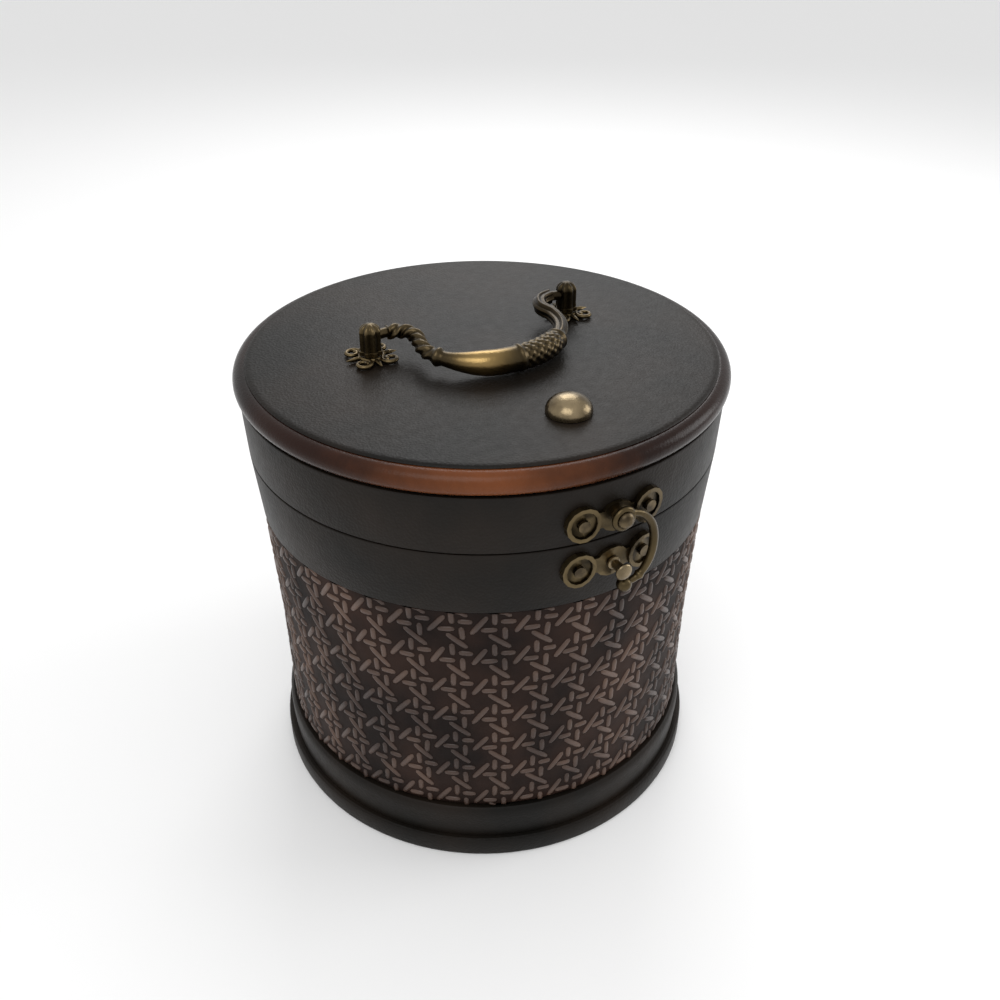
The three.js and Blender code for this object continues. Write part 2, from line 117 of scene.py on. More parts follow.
def grid_faces(rows: int, columns: int, wrap_rows: bool, wrap_columns: bool) -> Array:
    """Quads of a grid of points, joined round where asked.

    Args:
        rows: number of points along the first parameter.
        columns: number of points along the second parameter.
        wrap_rows: join the last row to the first.
        wrap_columns: join the last column to the first.

    Returns:
        (n, 4) point numbers.
    """
    i = np.arange(rows if wrap_rows else rows - 1)[:, None]
    j = np.arange(columns if wrap_columns else columns - 1)[None, :]
    a = i * columns + j
    b = i * columns + (j + 1) % columns
    c = ((i + 1) % rows) * columns + (j + 1) % columns
    d = ((i + 1) % rows) * columns + j
    return np.stack([a, b, c, d], -1).reshape(-1, 4)


def pole_faces(around: int, count: int) -> list:
    """Triangles that join the first and last point of each step round the axis to two poles.

    Args:
        around: number of steps round the axis.
        count: points in each step; the poles come after all of them, first pole first.

    Returns:
        Lists of point numbers.
    """
    step = np.arange(around)
    after = (step + 1) % around
    pole = np.full(around, around * count)
    first = np.stack([pole, after * count, step * count], -1)
    last = np.stack([pole + 1, step * count + count - 1, after * count + count - 1], -1)
    return first.tolist() + last.tolist()


def revolve(
    name: str, profile: Sequence[tuple[float, float]], closed: bool, around: int = 256
) -> bpy.types.Object:
    """Turns a profile round Z: x = r cos a, y = r sin a, z = z.

    Args:
        name: the piece's name.
        profile: (radius, height) points, up the outside; a closed one goes on down the inside.
        closed: join the profile's end to its start, else its ends lie on the axis.
        around: number of steps round the axis.

    Returns:
        The piece, shaded with a crease at each sharp corner of the profile.
    """
    rz = np.array(profile, float)
    turn = np.linspace(0, 2 * np.pi, around, endpoint=False)[:, None]
    body = rz if closed else rz[1:-1]
    points = np.stack([np.cos(turn) * body[:, 0], np.sin(turn) * body[:, 0], 0 * turn + body[:, 1]], -1)
    faces = grid_faces(around, len(body), True, closed).tolist()
    points = points.reshape(-1, 3)
    if not closed:
        points = np.vstack([points, [[0, 0, rz[0, 1]], [0, 0, rz[-1, 1]]]])
        faces += pole_faces(around, len(body))
    made = add_mesh(name, points, faces)
    outward(made)
    return made


def outward(piece: bpy.types.Object) -> None:
    """Turns a closed piece's faces outward by the sign of its volume.

    Args:
        piece: a closed mesh piece.
    """
    shape = bmesh.new()
    shape.from_mesh(piece.data)
    if shape.calc_volume(signed=True) < 0:
        bmesh.ops.reverse_faces(shape, faces=shape.faces)
    for edge in shape.edges:
        if len(edge.link_faces) == 2 and edge.calc_face_angle(0) > math.radians(CREASE_DEGREES):
            edge.smooth = False
    shape.to_mesh(piece.data)
    shape.free()


def rounded(
    corners: Sequence[tuple[float, float]], radius: float, steps: int = 4
) -> list[tuple[float, float]]:
    """A closed profile with each corner cut by a round of about the radius.

    Each corner becomes the quadratic curve from the point a radius before it to the point a radius after.

    Args:
        corners: profile corners.
        radius: distance of the round's ends from the corner.
        steps: points along each round.

    Returns:
        The rounded profile's points.
    """
    pts = np.array(corners, float)
    out: list[tuple[float, float]] = []
    share = np.linspace(0, 1, steps)[:, None]
    for index, corner in enumerate(pts):
        back = pts[index - 1] - corner
        ahead = pts[(index + 1) % len(pts)] - corner
        cut_back = min(radius, 0.45 * np.linalg.norm(back))
        cut_ahead = min(radius, 0.45 * np.linalg.norm(ahead))
        a = corner + back / np.linalg.norm(back) * cut_back
        b = corner + ahead / np.linalg.norm(ahead) * cut_ahead
        curve = (1 - share) ** 2 * a + 2 * share * (1 - share) * corner + share**2 * b
        out += [tuple(p) for p in curve]
    return out


def tube(
    line: Sequence[tuple[float, float, float]],
    radius: Callable[[Array, Array], Array],
    steps: int,
    sides: int,
) -> tuple[Array, list]:
    """Carries a section along a smooth line: point = centre + r(t, a) (cos a N + sin a B).

    Args:
        line: points that the centre line passes through.
        radius: section radius by the share t along the line and the angle a round it.
        steps: rings along the line.
        sides: points round each ring.

    Returns:
        The closed tube's points in millimetres and its faces.
    """
    knots = np.array(line, float)
    length = np.concatenate([[0], np.cumsum(np.linalg.norm(np.diff(knots, axis=0), axis=1) ** 0.5)])
    dense = np.linspace(0, length[-1], steps * 8)
    smooth = np.stack([hermite(length, knots[:, k], dense) for k in range(3)], -1)
    run = np.concatenate([[0], np.cumsum(np.linalg.norm(np.diff(smooth, axis=0), axis=1))])
    t = np.linspace(0, 1, steps)
    centre = np.stack([np.interp(t * run[-1], run, smooth[:, k]) for k in range(3)], -1)
    along = np.gradient(centre, axis=0)
    along /= np.linalg.norm(along, axis=1)[:, None]
    flat = np.linalg.svd(knots - knots.mean(0))[2][2]
    across = np.cross(along, flat)
    across /= np.linalg.norm(across, axis=1)[:, None]
    up = np.cross(along, across)
    angle = np.linspace(0, 2 * np.pi, sides, endpoint=False)[None, :]
    r = radius(t[:, None] + 0 * angle, angle + 0 * t[:, None])[..., None]
    section = np.cos(angle)[..., None] * across[:, None] + np.sin(angle)[..., None] * up[:, None]
    rings = centre[:, None] + r * section
    faces = grid_faces(steps, sides, False, True).tolist()
    faces += [list(range(sides))[::-1], list(range((steps - 1) * sides, steps * sides))]
    return rings.reshape(-1, 3), faces


def swept(name: str, tubes: Sequence[tuple[Array, list]]) -> bpy.types.Object:
    """Makes one piece of one or more closed tubes.

    Args:
        name: the piece's name.
        tubes: each tube's points and faces.

    Returns:
        The piece, with its faces turned outward.
    """
    starts = np.cumsum([0] + [len(points) for points, _ in tubes])
    faces = [[start + corner for corner in face] for start, (_, own) in zip(starts, tubes) for face in own]
    made = add_mesh(name, np.vstack([points for points, _ in tubes]), faces)
    outward(made)
    return made


def cushion(
    name: str, radius: float, hard_z: float, soft_z: float, dimples: Sequence[tuple[float, float]] = ()
) -> bpy.types.Object:
    """A thin round pad with an edge rolled as a quarter circle, pulled flat at each dimple by a smooth step.

    Height = soft - roll (1 - (1 - u^2)^(1/2)), where u runs from 0 to 1 across the roll.

    Args:
        name: the piece's name.
        radius: its radius.
        hard_z: height of its flat face.
        soft_z: height of its soft face.
        dimples: (x, y) of bolts that the pad is pulled in round.

    Returns:
        The pad.
    """
    flat = radius - PAD_ROLL
    roll_turn = np.linspace(0, np.pi / 2, PAD_EDGE_RINGS)[1:]
    ring = np.concatenate([np.linspace(0, flat, PAD_RINGS)[1:], flat + PAD_ROLL * np.sin(roll_turn)])
    turn = np.linspace(0, 2 * np.pi, PAD_AROUND, endpoint=False)[:, None]
    x, y = np.cos(turn) * ring, np.sin(turn) * ring
    u = np.clip((ring - flat) / PAD_ROLL, 0, 1)
    side = math.copysign(1.0, soft_z - hard_z)
    z = soft_z - side * PAD_ROLL * (1 - np.sqrt(1 - u**2)) + 0 * x
    for hole_x, hole_y in dimples:
        inside = WELL_RADIUS + WELL_SLOPE - np.hypot(x - hole_x, y - hole_y)
        share = np.clip(inside / WELL_SLOPE, 0, 1)
        share = share**2 * (3 - 2 * share)
        z = z * (1 - share) + (hard_z + side * WELL_FLOOR) * share
    soft = np.stack([x, y, z], -1)
    edge = np.stack([x[:, -1:], y[:, -1:], 0 * x[:, -1:] + hard_z], -1)
    points = np.concatenate([soft, edge], 1)
    count = points.shape[1]
    faces = grid_faces(PAD_AROUND, count, True, False).tolist() + pole_faces(PAD_AROUND, count)
    poles = [[0, 0, soft_z], [0, 0, hard_z]]
    made = add_mesh(name, np.vstack([points.reshape(-1, 3), poles]), faces)
    outward(made)
    return made


def hermite(at: Array, value: Array, wanted: Array) -> Array:
    """Smooth curve through values, with each knot's slope taken from its neighbours.

    Args:
        at: knot places.
        value: knot values.
        wanted: places to read.

    Returns:
        The curve's values.
    """
    slope = np.gradient(value, at)
    k = np.clip(np.searchsorted(at, wanted) - 1, 0, len(at) - 2)
    h = at[k + 1] - at[k]
    s = (wanted - at[k]) / h
    return (
        (2 * s**3 - 3 * s**2 + 1) * value[k]
        + (s**3 - 2 * s**2 + s) * h * slope[k]
        + (3 * s**2 - 2 * s**3) * value[k + 1]
        + (s**3 - s**2) * h * slope[k + 1]
    )


def new_group(name: str, inputs: dict[str, float], outputs: Sequence[str]) -> bpy.types.NodeTree:
    """An empty shader node group with float sockets and Object coordinates inside.

    Args:
        name: the group's name.
        inputs: socket names and their default values.
        outputs: names of the float outputs.

    Returns:
        The group's tree.
    """
    tree = bpy.data.node_groups.new(name, "ShaderNodeTree")
    for socket, value in inputs.items():
        made = tree.interface.new_socket(name=socket, in_out="INPUT", socket_type="NodeSocketFloat")
        made.default_value = value
    for socket in outputs:
        tree.interface.new_socket(name=socket, in_out="OUTPUT", socket_type="NodeSocketFloat")
    tree.nodes.new("NodeGroupInput").name = "in"
    tree.nodes.new("NodeGroupOutput").name = "out"
    tree.nodes.new("ShaderNodeTexCoord").name = "place"
    return tree


FINE_DETAIL = 6.0
FINE_SCALE = 260.0
BROAD_DETAIL = 3.0
PATCH_SCALE = 110.0
CLOUD_SPAN = (0.36, 0.66)
WEAR_SPAN = (0.44, 0.56)
HOLLOW_TINT = (0.12, 0.11, 0.09, 1.0)
RIDGE_TINT = (1.35, 1.3, 1.15, 1.0)
ROUGH_SPREAD = 0.15
BUMP_DISTANCE = 0.0004


def grain_group() -> bpy.types.NodeTree:
    """Fine pebbled grain and broad clouding: outputs Height, Fine and Broad."""
    tree = new_group("skin_grain", {"Grain Size": 900.0, "Cloud Size": 22.0}, ("Height", "Fine", "Broad"))
    place = tree.nodes["place"].outputs["Object"]
    pebbles = tree.nodes.new("ShaderNodeTexVoronoi")
    tree.links.new(place, pebbles.inputs["Vector"])
    tree.links.new(tree.nodes["in"].outputs["Grain Size"], pebbles.inputs["Scale"])
    fine = tree.nodes.new("ShaderNodeTexNoise")
    fine.inputs["Detail"].default_value = FINE_DETAIL
    fine.inputs["Scale"].default_value = FINE_SCALE
    tree.links.new(place, fine.inputs["Vector"])
    broad = tree.nodes.new("ShaderNodeTexNoise")
    broad.inputs["Detail"].default_value = BROAD_DETAIL
    tree.links.new(place, broad.inputs["Vector"])
    tree.links.new(tree.nodes["in"].outputs["Cloud Size"], broad.inputs["Scale"])
    mix = tree.nodes.new("ShaderNodeMath")
    mix.operation = "ADD"
    tree.links.new(pebbles.outputs["Distance"], mix.inputs[0])
    tree.links.new(fine.outputs["Fac"], mix.inputs[1])
    tree.links.new(mix.outputs[0], tree.nodes["out"].inputs["Height"])
    tree.links.new(fine.outputs["Fac"], tree.nodes["out"].inputs["Fine"])
    tree.links.new(broad.outputs["Fac"], tree.nodes["out"].inputs["Broad"])
    return tree


def spot_group() -> bpy.types.NodeTree:
    """Share of a ragged round spot: 1 at its centre, falling smoothly to 0 at its radius. Output Amount."""
    sockets = {"Centre X": 0.0, "Centre Y": 0.0, "Centre Z": 0.0, "Radius": 0.05, "Ragged": 0.02}
    tree = new_group("wear_highlight_gilt_spot", sockets, ("Amount",))
    given = tree.nodes["in"].outputs
    centre = tree.nodes.new("ShaderNodeCombineXYZ")
    for axis in "XYZ":
        tree.links.new(given["Centre " + axis], centre.inputs[axis])
    away = tree.nodes.new("ShaderNodeVectorMath")
    away.operation = "DISTANCE"
    tree.links.new(tree.nodes["place"].outputs["Object"], away.inputs[0])
    tree.links.new(centre.outputs["Vector"], away.inputs[1])
    patches = tree.nodes.new("ShaderNodeTexNoise")
    patches.inputs["Scale"].default_value = PATCH_SCALE
    patches.inputs["Detail"].default_value = FINE_DETAIL
    tree.links.new(tree.nodes["place"].outputs["Object"], patches.inputs["Vector"])
    edge = tree.nodes.new("ShaderNodeMath")
    edge.operation = "MULTIPLY_ADD"
    tree.links.new(patches.outputs["Fac"], edge.inputs[0])
    tree.links.new(given["Ragged"], edge.inputs[1])
    tree.links.new(away.outputs["Value"], edge.inputs[2])
    amount = tree.nodes.new("ShaderNodeMapRange")
    amount.interpolation_type = "SMOOTHSTEP"
    tree.links.new(edge.outputs[0], amount.inputs["Value"])
    tree.links.new(given["Radius"], amount.inputs["From Min"])
    amount.inputs["From Max"].default_value = 0.0
    tree.links.new(amount.outputs["Result"], tree.nodes["out"].inputs["Amount"])
    return tree


@dataclass(frozen=True)
class Spot:
    """A round place of another colour, its centre and radius in millimetres: worn colour with a painted
    highlight on the lid's rim, gilding on the bail's horn.
    """

    colour: tuple[float, float, float]
    centre: tuple[float, float, float]
    radius: float
    ragged: float


@dataclass(frozen=True)
class Finish:
    """One surface finish: a base colour clouded towards a second, with grain in its roughness and bump."""

    name: str
    slot: str
    dark: tuple[float, float, float]
    light: tuple[float, float, float]
    roughness: float
    metallic: float = 0.0
    grain: float = 900.0
    cloud: float = 22.0
    bump: float = 0.1
    pointed: bool = False
    specular: float = 0.5
    spot: Spot | None = None

    def material(self, grain: bpy.types.NodeTree, spot_tree: bpy.types.NodeTree) -> bpy.types.Material:
        """Builds the material.

        Args:
            grain: the shared grain group.
            spot_tree: the shared group that gives each spot's share.

        Returns:
            The material.
        """
        made = bpy.data.materials.new(self.name)
        made.use_nodes = True
        tree = made.node_tree
        shader = tree.nodes["Principled BSDF"]
        skin = tree.nodes.new("ShaderNodeGroup")
        skin.node_tree = grain
        skin.inputs["Grain Size"].default_value = self.grain
        skin.inputs["Cloud Size"].default_value = self.cloud
        ramp = tree.nodes.new("ShaderNodeValToRGB")
        ramp.color_ramp.elements[0].position = CLOUD_SPAN[0]
        ramp.color_ramp.elements[0].color = (*self.dark, 1.0)
        ramp.color_ramp.elements[1].position = CLOUD_SPAN[1]
        ramp.color_ramp.elements[1].color = (*self.light, 1.0)
        tree.links.new(skin.outputs["Broad"], ramp.inputs["Fac"])
        colour = ramp.outputs["Color"]
        if self.pointed:
            colour = self.patina(tree, colour)
        if self.spot:
            colour = self.mix_spot(tree, colour, spot_tree)
        tree.links.new(colour, shader.inputs["Base Color"])
        rough = tree.nodes.new("ShaderNodeMapRange")
        rough.inputs["To Min"].default_value = self.roughness * (1 - ROUGH_SPREAD)
        rough.inputs["To Max"].default_value = min(1.0, self.roughness * (1 + ROUGH_SPREAD))
        tree.links.new(skin.outputs["Fine"], rough.inputs["Value"])
        tree.links.new(rough.outputs["Result"], shader.inputs["Roughness"])
        shader.inputs["Metallic"].default_value = self.metallic
        shader.inputs["Specular IOR Level"].default_value = self.specular
        bump = tree.nodes.new("ShaderNodeBump")
        bump.inputs["Strength"].default_value = self.bump
        bump.inputs["Distance"].default_value = BUMP_DISTANCE
        tree.links.new(skin.outputs["Height"], bump.inputs["Height"])
        tree.links.new(bump.outputs["Normal"], shader.inputs["Normal"])
        return made

    def mix_spot(
        self, tree: bpy.types.NodeTree, colour: bpy.types.NodeSocket, spot_tree: bpy.types.NodeTree
    ) -> bpy.types.NodeSocket:
        """Mixes the spot's colour in by the share that the spot group gives; on the lid's rim this paints a
        highlight over worn colour.

        Args:
            tree: the material's tree.
            colour: the colour before the spot.
            spot_tree: the shared group that gives each spot's share.

        Returns:
            The colour with the spot.
        """
        share = tree.nodes.new("ShaderNodeGroup")
        share.node_tree = spot_tree
        for axis, value in zip("XYZ", self.spot.centre):
            share.inputs["Centre " + axis].default_value = value * MM
        share.inputs["Radius"].default_value = self.spot.radius * MM
        share.inputs["Ragged"].default_value = self.spot.ragged * MM
        mix = tree.nodes.new("ShaderNodeMix")
        mix.data_type = "RGBA"
        tree.links.new(share.outputs["Amount"], mix.inputs["Factor"])
        tree.links.new(colour, mix.inputs["A"])
        mix.inputs["B"].default_value = (*self.spot.colour, 1.0)
        return mix.outputs["Result"]

    def patina(self, tree: bpy.types.NodeTree, colour: bpy.types.NodeSocket) -> bpy.types.NodeSocket:
        """Darkens hollows and brightens ridges by the surface's pointiness.

        Args:
            tree: the material's tree.
            colour: the colour before wear.

        Returns:
            The colour with wear.
        """
        shape = tree.nodes.new("ShaderNodeNewGeometry")
        ramp = tree.nodes.new("ShaderNodeValToRGB")
        ramp.color_ramp.elements[0].position = WEAR_SPAN[0]
        ramp.color_ramp.elements[0].color = HOLLOW_TINT
        ramp.color_ramp.elements[1].position = WEAR_SPAN[1]
        ramp.color_ramp.elements[1].color = RIDGE_TINT
        tree.links.new(shape.outputs["Pointiness"], ramp.inputs["Fac"])
        mix = tree.nodes.new("ShaderNodeMix")
        mix.data_type = "RGBA"
        mix.blend_type = "MULTIPLY"
        mix.inputs["Factor"].default_value = 1.0
        tree.links.new(colour, mix.inputs["A"])
        tree.links.new(ramp.outputs["Color"], mix.inputs["B"])
        return mix.outputs["Result"]


# Copper-red patch on the front of the lid's rounded edge: worn colour together with a painted highlight.
RIM_WEAR_AND_HIGHLIGHT = Spot((0.17, 0.052, 0.017), (-46.0, -89.0, 191.0), 82.0, 34.0)
HORN_GILT = Spot((0.45, 0.3, 0.115), (-14.0, -26.0, 202.5), 18.0, 6.0)
LEATHERETTE = Finish(
    "leatherette", "leatherette", (0.0042, 0.0036, 0.0027), (0.0125, 0.0085, 0.0058), 0.46,
    bump=0.22, specular=0.15,
)
LID_EDGE = Finish(
    "worn_and_highlit_edge", "lid_edge", (0.006, 0.003, 0.0022), (0.018, 0.0065, 0.004), 0.27,
    cloud=16.0, specular=0.14, spot=RIM_WEAR_AND_HIGHLIGHT,
)
CANE = Finish(
    "cane_relief", "woven_wrap", (0.03, 0.0155, 0.0105), (0.1, 0.058, 0.04), 0.4, cloud=34.0, specular=0.4
)
# Ground between the floats: its own darker brown, made darker still as painted shade in the recesses between
# the floats.
CANE_GROUND = Finish(
    "cane_ground", "woven_wrap", (0.0065, 0.003, 0.002), (0.026, 0.0122, 0.008), 0.6,
    cloud=34.0, specular=0.12,
)
LINING = Finish(
    "lining_cloth", "lining", (0.05, 0.02, 0.018), (0.09, 0.04, 0.035), 0.95, grain=1600.0, specular=0.2
)
BOARD = Finish("core_board", "board", (0.2, 0.14, 0.08), (0.34, 0.25, 0.16), 0.85)
BRONZE = Finish("old_bronze", "bronze", (0.04, 0.031, 0.019), (0.115, 0.088, 0.05), 0.33, 1.0, pointed=True)
HORN = Finish(
    "gilt_bronze", "bronze", (0.034, 0.026, 0.017), (0.095, 0.073, 0.043), 0.3, 1.0,
    pointed=True, spot=HORN_GILT,
)
BRASS = Finish("aged_brass", "brass", (0.13, 0.1, 0.06), (0.29, 0.225, 0.135), 0.28, 1.0, cloud=120.0)
SCREW = Finish("dark_screw", "brass", (0.05, 0.038, 0.024), (0.14, 0.105, 0.06), 0.34, 1.0, cloud=200.0)


@dataclass
class Dresser:
    """Hands out one material for each finish and puts it on pieces."""

    grain: bpy.types.NodeTree
    spot_tree: bpy.types.NodeTree
    made: dict[str, bpy.types.Material] = field(default_factory=dict)

    def paint(self, piece: bpy.types.Object, finish: Finish) -> None:
        """Puts a finish on every slot of a piece.

        Args:
            piece: the piece or CAD node.
            finish: the finish to use.
        """
        if finish.name not in self.made:
            self.made[finish.name] = finish.material(self.grain, self.spot_tree)
        piece.data.materials.clear()
        piece.data.materials.append(self.made[finish.name])

    def fit(self, piece: bpy.types.Object, body: Body, finish: Finish, *nodes: str) -> None:
        """Paints a new piece, rides it on its body and has it stand for its CAD nodes.

        Args:
            piece: the new piece.
            body: the body that carries it.
            finish: its finish.
            nodes: the CAD nodes that it replaces.
        """
        self.paint(piece, finish)
        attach(piece, body.value)
        if nodes:
            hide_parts(*nodes)
        LOG.info("built %s", piece.name)


@dataclass
class Carcass:
    """The body: base board, foot band, core, upper band and linings; its woven wrap is built by WovenWrap.
    """

    plinth_radius: float = 98.0
    shell_foot: float = 91.0
    foot_height: float = 20.0
    pad_radius: float = 86.2

    def band(self, low: float, high: float, outer: float, inner: float) -> list[tuple[float, float]]:
        """Profile of a band that follows the wall between two depths.

        Args:
            low: lower height.
            high: upper height.
            outer: outer face's distance from the wall face.
            inner: inner face's distance from the wall face.

        Returns:
            Rounded closed profile.
        """
        middles = [z for z in WALL_HEIGHTS if low + 1 < z < high - 1]
        heights = [low, *middles, high]
        corners = [(float(wall_radius(z)) + outer, z) for z in heights]
        corners += [(float(wall_radius(z)) + inner, z) for z in reversed(heights)]
        return rounded(corners, EDGE_ROUND)

    def hull(self, heights: Sequence[float], foot_inset: float, inset: float) -> list[tuple[float, float]]:
        """Points up the inner shell: a fixed radius at its foot, then the wall's radius less an inset.

        Args:
            heights: heights of the points.
            foot_inset: distance from the shell's face at the foot.
            inset: distance from the wall's face above it.

        Returns:
            (radius, height) points.
        """
        foot = self.shell_foot - foot_inset
        return [(foot if z < self.foot_height else float(wall_radius(z)) - inset, z) for z in heights]

    def build(self, dresser: Dresser) -> None:
        """Builds and dresses the pieces.

        Args:
            dresser: the material maker.
        """
        r = self.plinth_radius
        base = [(0, 0), (r - 1.5, 0), (r - 0.4, 0.4), (r, 1.5), (r, PLINTH_TOP_Z - 1.5)]
        base += [(r - 0.4, PLINTH_TOP_Z - 0.4), (r - 1.5, PLINTH_TOP_Z), (0, PLINTH_TOP_Z)]
        dresser.fit(revolve("plinth_board", base, False), Body.BOX, LEATHERETTE, "base_board")
        low = PLINTH_TOP_Z + GAP
        foot = [(95.0, low), (95.5, 18), (95.6, 21.5), (95.4, 24.2), (94.9, 25.4), (94.1, FOOT_TOP_Z)]
        foot += [(93.2, FOOT_TOP_Z), (91.3, FOOT_TOP_Z - 0.4), (91.3, low)]
        dresser.fit(revolve("foot_skin", foot, True), Body.BOX, LEATHERETTE, "foot_band")
        band = self.band(WEAVE_TOP_Z, SEAM_Z - GAP, 0, -SKIN)
        dresser.fit(revolve("band_skin", band, True), Body.BOX, LEATHERETTE, "upper_band")
        inset = SKIN + CORE + 2 * GAP
        heights = (PLINTH_TOP_Z + 3.6, 80.0, WEAVE_TOP_Z, SEAM_Z - LINING_DROP)
        outside = self.hull(heights, CORE + GAP, inset)
        lining = outside + [(x - LINING_THICKNESS, z) for x, z in reversed(outside)]
        dresser.fit(revolve("inner_lining", lining, True), Body.BOX, LINING, "side_lining")
        shell_heights = (low, 80.0, WEAVE_TOP_Z, SEAM_Z - GAP)
        face = self.hull(shell_heights, 0.0, SKIN + GAP)
        shell = face + [(x - CORE, z) for x, z in reversed(face)]
        dresser.fit(revolve("core_shell", shell, True), Body.BOX, BOARD, "body_shell")
        pad = cushion("floor_cushion", self.pad_radius, low, low + PAD_THICKNESS)
        dresser.fit(pad, Body.BOX, LINING, "floor_pad")


class Strand(Enum):
    """Floats in one cell of the weave: centre x and y in cells, turn in degrees and length in cells."""

    LEFT_UPRIGHT = (-0.12, 0.225, 90.0, 0.36)
    RIGHT_UPRIGHT = (0.12, -0.25, 90.0, 0.38)
    UPPER_RUN = (0.2, 0.12, 0.0, 0.34)
    LOWER_RUN = (-0.25, -0.13, 0.0, 0.38)
    FALLING = (0.0, -0.49, -41.0, 0.68)
    RISING = (0.52, 0.01, 54.0, 0.62)


@dataclass
class WovenWrap:
    """Embossed cane weave: a ground skin with one pillow for each float."""

    around: int = 37
    pitch: float = 15.95
    first_row: float = 31.2
    rows: int = 7
    phase_degrees: float = -24.6
    width: float = 0.158
    stretch: float = 1.07
    rise: float = 1.02
    sink: float = 0.7
    inset: float = 0.35
    middle_radius: float = 93.8
    length_spread: float = 0.05
    lean_spread: float = 0.035
    least: float = 1.5
    edge: float = 0.4
    seed: int = 7
    stations: int = 7
    section_degrees: tuple[float, ...] = (-25.0, 12.0, 50.0, 90.0, 130.0, 168.0, 205.0)

    def pillow(self) -> tuple[Array, Array, Array, Array]:
        """One float: along = sin u, and a half-round section that falls to the ends as (1 - s^6)^(1/2).

        Returns:
            Along and (across, up) shares of its points, its quads and its two end faces.
        """
        sides = len(self.section_degrees)
        s = np.sin(np.linspace(-0.5, 0.5, self.stations) * np.pi * 0.96)
        swell = np.sqrt(1 - np.abs(s) ** 6 * 0.96)
        angle = np.radians(self.section_degrees)
        along = np.repeat(s, sides)
        section = np.stack([np.outer(swell, np.cos(angle)), np.outer(swell, np.sin(angle))], -1)
        first = np.arange(sides)
        ends = np.stack([first[::-1], first + (self.stations - 1) * sides])
        return along, section.reshape(-1, 2), grid_faces(self.stations, sides, False, True), ends

    def floats(self) -> tuple[Array, list]:
        """Places every float on the wall: the flat weave's x goes round the wall and its depth out of it.

        Returns:
            Points in millimetres and faces.
        """
        along, section, quads, ends = self.pillow()
        cell_width = 2 * np.pi * self.middle_radius / self.around
        placed = []
        chance = np.random.default_rng(self.seed)
        for strand in Strand:
            cx, cy, turn, length = strand.value
            tilt = math.radians(turn)
            cells = np.meshgrid(np.arange(self.around), np.arange(-1, self.rows + 1), indexing="ij")
            column, row = (number.reshape(-1, 1) for number in cells)
            uneven = 1 + self.length_spread * chance.standard_normal(column.shape)
            half = 0.5 * length * self.stretch * uneven
            lean = tilt + self.lean_spread * chance.standard_normal(column.shape)
            across = 0.5 * self.width * section[None, :, 0]
            local_x = half * along * np.cos(lean) - across * np.sin(lean)
            local_y = half * along * np.sin(lean) + across * np.cos(lean)
            x = (column + cx + local_x) * cell_width
            z = self.first_row + (row + cy + local_y) * self.pitch
            depth = self.rise * (section[None, :, 1] + 0 * x) - self.sink
            keep = (z.max(1) > FOOT_TOP_Z + self.least) & (z.min(1) < WEAVE_TOP_Z - self.least)
            x, z, depth = x[keep], z[keep], depth[keep]
            z = np.clip(z, FOOT_TOP_Z + self.edge, WEAVE_TOP_Z - self.edge)
            angle = x / self.middle_radius + math.radians(self.phase_degrees)
            radius = wall_radius(z) + depth - self.inset
            placed.append(np.stack([radius * np.sin(angle), -radius * np.cos(angle), z], -1))
        points = np.concatenate(placed)
        start = (np.arange(len(points)) * len(along))[:, None, None]
        faces = (quads + start).reshape(-1, 4).tolist()
        faces += (ends + start).reshape(-1, ends.shape[1]).tolist()
        return points.reshape(-1, 3), faces

    def build(self, dresser: Dresser) -> None:
        """Builds the ground and the floats.

        Args:
            dresser: the material maker.
        """
        ground = Carcass().band(FOOT_TOP_Z + GAP, WEAVE_TOP_Z - GAP, -0.75, -SKIN)
        dresser.fit(revolve("weave_ground", ground, True), Body.BOX, CANE_GROUND, "woven_wrap")
        points, faces = self.floats()
        dresser.fit(add_mesh("weave_floats", points, faces), Body.BOX, CANE)
        LOG.info("weave has %d faces", len(faces))


